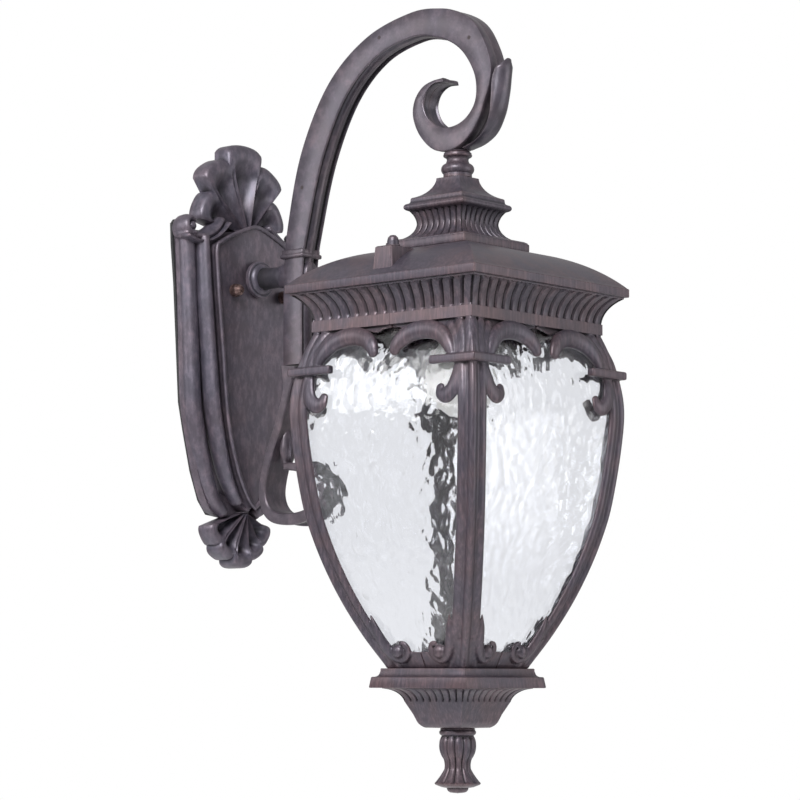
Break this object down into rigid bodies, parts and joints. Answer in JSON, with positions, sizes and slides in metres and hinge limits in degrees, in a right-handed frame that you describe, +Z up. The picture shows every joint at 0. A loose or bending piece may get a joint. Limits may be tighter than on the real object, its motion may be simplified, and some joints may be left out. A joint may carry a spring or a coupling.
{
  "type": "outdoor wall lantern",
  "caption": "Outdoor wall lantern: a tapering square cage of bent hammered glass hangs from a scroll arm on a shield-shaped plate, and slides down for relamping.",
  "frame": {"origin": "middle of the mounting crossbar's back face, on the wall plane", "axes": "+Z up, +Y into the wall, -Y towards the lantern, +X to the right of someone who faces the wall"},
  "size_m": [0.224, 0.404, 0.7224],
  "materials": {
    "bronze": "antique bronze paint, brushed highlights",
    "dark_bronze": "dark bronze paint",
    "nut_brass": "aged bronze plating",
    "steel": "zinc plated",
    "porcelain": "glazed porcelain",
    "brass": "satin",
    "water_glass": "hammered clear",
    "frosted_glass": "frosted",
    "foam": "closed-cell foam",
    "wire_sleeve": "sleeved lead"
  },
  "bodies": {
    "wall_assembly": {"arm_collar": "bronze", "arm_half_left": "bronze", "arm_half_right": "bronze", "arm_lead": "wire_sleeve", "arm_leaf": "bronze", "arm_screw_back": "dark_bronze", "arm_screw_front": "dark_bronze", "arm_screw_top": "dark_bronze", "back_plate": "bronze", "bottom_shell": "bronze", "crown": "bronze", "ground_screw": "brass", "hub_locknut": "steel", "hub_neck": "bronze", "lampholder": "porcelain", "lampholder_shell": "brass", "lower_scroll": "bronze", "mounting_crossbar": "steel", "mounting_stud_left": "steel", "mounting_stud_right": "steel", "nipple": "steel", "nipple_locknut": "steel", "roof": "bronze", "scroll_stud": "steel", "socket_cap": "brass", "top_shell": "bronze", "wall_gasket": "foam"},
    "cage": {"corner_front_left": "bronze", "corner_front_right": "bronze", "corner_back_left": "bronze", "corner_back_right": "bronze", "glass_front": "water_glass", "glass_back": "water_glass", "glass_left": "water_glass", "glass_right": "water_glass", "glass_clip_front": "steel", "glass_clip_back": "steel", "glass_clip_left": "steel", "glass_clip_right": "steel", "splice_front": "dark_bronze", "splice_back": "dark_bronze", "splice_left": "dark_bronze", "splice_right": "dark_bronze", "tray_screw_front_left": "steel", "tray_screw_front_right": "steel", "tray_screw_back_left": "steel", "tray_screw_back_right": "steel", "tray": "bronze", "cup": "bronze", "bottom_stud": "steel", "bottom_nut": "steel"},
    "left_roof_screw": {"roof_screw_left": "nut_brass"},
    "right_roof_screw": {"roof_screw_right": "nut_brass"},
    "bulb": {"bulb_base": "brass", "bulb_globe": "frosted_glass"},
    "finial": {"finial": "bronze"},
    "left_cap_nut": {"cap_nut_left": "nut_brass"},
    "right_cap_nut": {"cap_nut_right": "nut_brass"}
  },
  "joints": [
    {"name": "cage_drop", "type": "slide", "parent": "wall_assembly", "child": "cage", "axis": [0, 0, -1], "range_m": [0, 0.2]},
    {"name": "left_roof_screw_turn", "type": "hinge", "parent": "wall_assembly", "child": "left_roof_screw", "pos_m": [-0.09, -0.292, 0.02], "axis": [0, 0, 1], "continuous": true},
    {"name": "right_roof_screw_turn", "type": "hinge", "parent": "wall_assembly", "child": "right_roof_screw", "pos_m": [0.09, -0.292, 0.02], "axis": [0, 0, 1], "continuous": true},
    {"name": "bulb_turn", "type": "hinge", "parent": "wall_assembly", "child": "bulb", "pos_m": [0, -0.292, -0.08], "axis": [0, 0, 1], "continuous": true},
    {"name": "finial_turn", "type": "hinge", "parent": "cage", "child": "finial", "pos_m": [0, -0.292, -0.44], "axis": [0, 0, 1], "continuous": true},
    {"name": "left_cap_nut_turn", "type": "hinge", "parent": "wall_assembly", "child": "left_cap_nut", "pos_m": [-0.034, -0.045, 0], "axis": [0, 1, 0], "continuous": true},
    {"name": "right_cap_nut_turn", "type": "hinge", "parent": "wall_assembly", "child": "right_cap_nut", "pos_m": [0.034, -0.045, 0], "axis": [0, 1, 0], "continuous": true}
  ]
}
